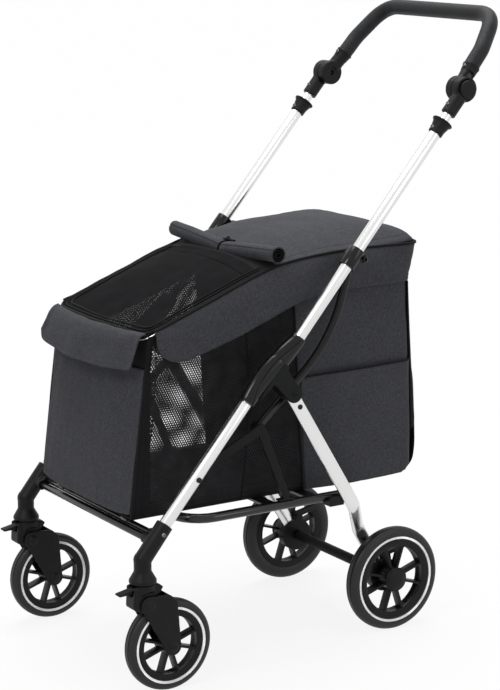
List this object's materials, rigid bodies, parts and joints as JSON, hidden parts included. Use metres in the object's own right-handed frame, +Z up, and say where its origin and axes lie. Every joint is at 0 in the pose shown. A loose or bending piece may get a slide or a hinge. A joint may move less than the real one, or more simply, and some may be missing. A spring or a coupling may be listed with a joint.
{
  "type": "pet stroller",
  "caption": "Folding pet stroller with a silver tube frame, swivelling front wheels, a height-adjustable push handle and a soft cabin with a mesh lid.",
  "frame": {"origin": "on the floor under the middle of the stroller's bounding box", "axes": "+Z up, +Y towards the rear where the user walks, +X the stroller's left side"},
  "size_m": [0.452, 0.7737, 1.0511],
  "materials": {
    "silver_tube": "satin anodised",
    "black_plastic": "fine moulded texture, slight sheen",
    "black_metal": "satin black powder coat",
    "button_plastic": "smooth satin",
    "bolt_steel": "black oxide",
    "grip_foam": "closed-cell foam, matte",
    "tyre_rubber": "matte moulded rubber",
    "charcoal_fabric": "heather woven, matte",
    "mat_fabric": "padded woven",
    "mesh_fabric": "fine open knit mesh"
  },
  "bodies": {
    "chassis": {"front_leg_left": "silver_tube", "front_leg_right": "silver_tube", "front_casting_left": "black_plastic", "front_casting_right": "black_plastic", "front_cross_tubes": "black_metal", "base_frame": "black_metal", "side_strut_left": "black_metal", "side_strut_right": "black_metal", "hinge_housing_left": "black_plastic", "hinge_housing_right": "black_plastic", "frame_bolts": "bolt_steel", "cabin_body": "charcoal_fabric", "floor_mat": "mat_fabric", "canopy": "charcoal_fabric", "skirts": "charcoal_fabric", "cover_roll": "charcoal_fabric"},
    "push_frame": {"push_tube_left": "silver_tube", "push_tube_right": "silver_tube", "hinge_cover_left": "black_plastic", "hinge_cover_right": "black_plastic", "telescope_collar_left": "black_plastic", "telescope_collar_right": "black_plastic"},
    "slide_collars": {"slide_collar_left": "black_plastic", "slide_collar_right": "black_plastic"},
    "side_links": {"side_link_left": "black_metal", "side_link_right": "black_metal"},
    "rear_legs": {"rear_leg_left": "silver_tube", "rear_leg_right": "silver_tube", "brake_housing_left": "black_plastic", "brake_housing_right": "black_plastic", "rear_axle_tube": "black_metal"},
    "handle_stems": {"inner_tube_left": "silver_tube", "inner_tube_right": "silver_tube", "handle_hub_lower_left": "black_plastic", "handle_hub_lower_right": "black_plastic"},
    "handle": {"handle_hub_upper_left": "black_plastic", "handle_hub_upper_right": "black_plastic", "handle_tube": "black_metal", "handle_grip": "grip_foam"},
    "button_left": {"hub_button_left": "button_plastic"},
    "rear_wheel_left": {"rear_rim_left": "black_plastic", "rear_tyre_left": "tyre_rubber", "rear_hub_cap_left": "black_plastic"},
    "brake_left": {"brake_pedal_left": "button_plastic"},
    "caster_left": {"caster_head_left": "black_plastic"},
    "lock_left": {"swivel_lock_left": "button_plastic"},
    "fork_left": {"caster_fork_left": "black_plastic"},
    "front_wheel_left": {"front_rim_left": "black_plastic", "front_tyre_left": "tyre_rubber"},
    "button_right": {"hub_button_right": "button_plastic"},
    "rear_wheel_right": {"rear_rim_right": "black_plastic", "rear_tyre_right": "tyre_rubber", "rear_hub_cap_right": "black_plastic"},
    "brake_right": {"brake_pedal_right": "button_plastic"},
    "caster_right": {"caster_head_right": "black_plastic"},
    "lock_right": {"swivel_lock_right": "button_plastic"},
    "fork_right": {"caster_fork_right": "black_plastic"},
    "front_wheel_right": {"front_rim_right": "black_plastic", "front_tyre_right": "tyre_rubber"},
    "lid": {"lid": "mesh_fabric"}
  },
  "joints": [
    {"name": "frame_fold", "type": "hinge", "parent": "chassis", "child": "push_frame", "pos_m": [0, -0.10146, 0.52056], "axis": [1, 0, 0], "range_deg": [0, 150]},
    {"name": "collar_slide", "type": "slide", "parent": "push_frame", "child": "slide_collars", "axis": [0, 0.6494, 0.7604], "range_m": [0, 0.14]},
    {"name": "link_swing", "type": "hinge", "parent": "chassis", "child": "side_links", "pos_m": [0, -0.115, 0.397], "axis": [1, 0, 0], "range_deg": [0, 125]},
    {"name": "rear_leg_fold", "type": "hinge", "parent": "chassis", "child": "rear_legs", "pos_m": [0, -0.066, 0.45214], "axis": [1, 0, 0], "range_deg": [-41, 0]},
    {"name": "handle_height", "type": "slide", "parent": "push_frame", "child": "handle_stems", "axis": [0, 0.6494, 0.7604], "range_m": [0, 0.12]},
    {"name": "handle_tilt", "type": "hinge", "parent": "handle_stems", "child": "handle", "pos_m": [0, 0.27307, 0.92135], "axis": [1, 0, 0], "range_deg": [-45, 45]},
    {"name": "button_press_left", "type": "slide", "parent": "handle_stems", "child": "button_left", "axis": [-1, 0, 0], "range_m": [0, 0.003], "stiffness_N_per_m": 500, "springref_m": -0.004},
    {"name": "button_press_right", "type": "slide", "parent": "handle_stems", "child": "button_right", "axis": [1, 0, 0], "range_m": [0, 0.003], "stiffness_N_per_m": 500, "springref_m": -0.004},
    {"name": "rear_wheel_spin_left", "type": "hinge", "parent": "rear_legs", "child": "rear_wheel_left", "pos_m": [0.164, 0.168, 0.09], "axis": [1, 0, 0], "continuous": true},
    {"name": "brake_press_left", "type": "hinge", "parent": "rear_legs", "child": "brake_left", "pos_m": [0.1365, 0.173, 0.125], "axis": [1, 0, 0], "range_deg": [-16, 0]},
    {"name": "caster_swivel_left", "type": "hinge", "parent": "chassis", "child": "caster_left", "pos_m": [0.203, -0.342, 0.184], "axis": [0, 0, 1], "continuous": true},
    {"name": "swivel_lock_left", "type": "hinge", "parent": "caster_left", "child": "lock_left", "pos_m": [0.203, -0.359, 0.174], "axis": [1, 0, 0], "range_deg": [0, 22]},
    {"name": "suspension_left", "type": "hinge", "parent": "caster_left", "child": "fork_left", "pos_m": [0.203, -0.34, 0.15], "axis": [1, 0, 0], "range_deg": [0, 6], "stiffness_Nm_per_rad": 20, "springref_deg": -8.59},
    {"name": "front_wheel_spin_left", "type": "hinge", "parent": "fork_left", "child": "front_wheel_left", "pos_m": [0.203, -0.298, 0.075], "axis": [1, 0, 0], "continuous": true},
    {"name": "rear_wheel_spin_right", "type": "hinge", "parent": "rear_legs", "child": "rear_wheel_right", "pos_m": [-0.164, 0.168, 0.09], "axis": [1, 0, 0], "continuous": true},
    {"name": "brake_press_right", "type": "hinge", "parent": "rear_legs", "child": "brake_right", "pos_m": [-0.1365, 0.173, 0.125], "axis": [1, 0, 0], "range_deg": [-16, 0]},
    {"name": "caster_swivel_right", "type": "hinge", "parent": "chassis", "child": "caster_right", "pos_m": [-0.203, -0.342, 0.184], "axis": [0, 0, 1], "continuous": true},
    {"name": "swivel_lock_right", "type": "hinge", "parent": "caster_right", "child": "lock_right", "pos_m": [-0.203, -0.359, 0.174], "axis": [1, 0, 0], "range_deg": [0, 22]},
    {"name": "suspension_right", "type": "hinge", "parent": "caster_right", "child": "fork_right", "pos_m": [-0.203, -0.34, 0.15], "axis": [1, 0, 0], "range_deg": [0, 6], "stiffness_Nm_per_rad": 20, "springref_deg": -8.59},
    {"name": "front_wheel_spin_right", "type": "hinge", "parent": "fork_right", "child": "front_wheel_right", "pos_m": [-0.203, -0.298, 0.075], "axis": [1, 0, 0], "continuous": true},
    {"name": "lid_open", "type": "hinge", "parent": "chassis", "child": "lid", "pos_m": [0, -0.088, 0.64102], "axis": [1, 0, 0], "range_deg": [-80, 0]}
  ],
  "couplings": [
    {"joint": "collar_slide", "follows": "frame_fold", "m_per_rad": 0.04648},
    {"joint": "link_swing", "follows": "frame_fold", "ratio": 0.77597},
    {"joint": "rear_leg_fold", "follows": "frame_fold", "ratio": -0.26667}
  ]
}
